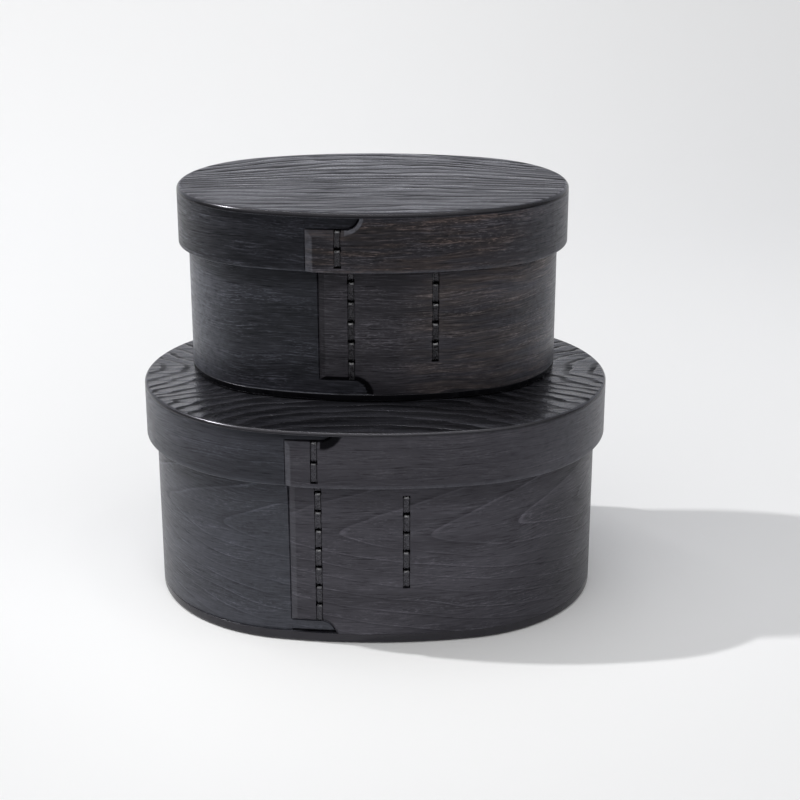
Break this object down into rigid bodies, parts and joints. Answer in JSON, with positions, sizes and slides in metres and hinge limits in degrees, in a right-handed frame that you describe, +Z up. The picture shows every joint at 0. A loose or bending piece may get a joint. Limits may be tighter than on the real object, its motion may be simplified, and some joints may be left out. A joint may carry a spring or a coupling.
{
  "type": "bentwood box",
  "caption": "Oval bentwood boxes with lift-off lids, a small one stacked on a larger one; each wall is a bent board, lapped and laced with bark, for holding food.",
  "frame": {"origin": "middle of the large box's underside, on the surface it stands on", "axes": "+Z up, X along the long axis of the ovals, the laced laps at the front, which is -Y"},
  "size_m": [0.208, 0.156, 0.1843],
  "materials": {
    "bent_wood": "black stain, satin, grain along the bend",
    "board_wood": "black stain, satin, grain raised along X",
    "bark": "dark bark strip, slightly glossy"
  },
  "bodies": {
    "large_body": {"large_body_band": "bent_wood", "large_base_board": "board_wood", "large_body_outer_stitch": "bark", "large_body_inner_stitch": "bark"},
    "large_lid": {"large_lid_band": "bent_wood", "large_lid_board": "board_wood", "large_lid_stitch": "bark"},
    "small_body": {"small_body_band": "bent_wood", "small_base_board": "board_wood", "small_body_outer_stitch": "bark", "small_body_inner_stitch": "bark"},
    "small_lid": {"small_lid_band": "bent_wood", "small_lid_board": "board_wood", "small_lid_stitch": "bark"}
  },
  "joints": [
    {"name": "large_lid_lift", "type": "slide", "parent": "large_body", "child": "large_lid", "axis": [0, 0, 1], "range_m": [0, 0.12]},
    {"name": "small_box_lift", "type": "slide", "parent": "large_lid", "child": "small_body", "axis": [0, 0, 1], "range_m": [0, 0.1]},
    {"name": "small_lid_lift", "type": "slide", "parent": "small_body", "child": "small_lid", "axis": [0, 0, 1], "range_m": [0, 0.12]}
  ]
}
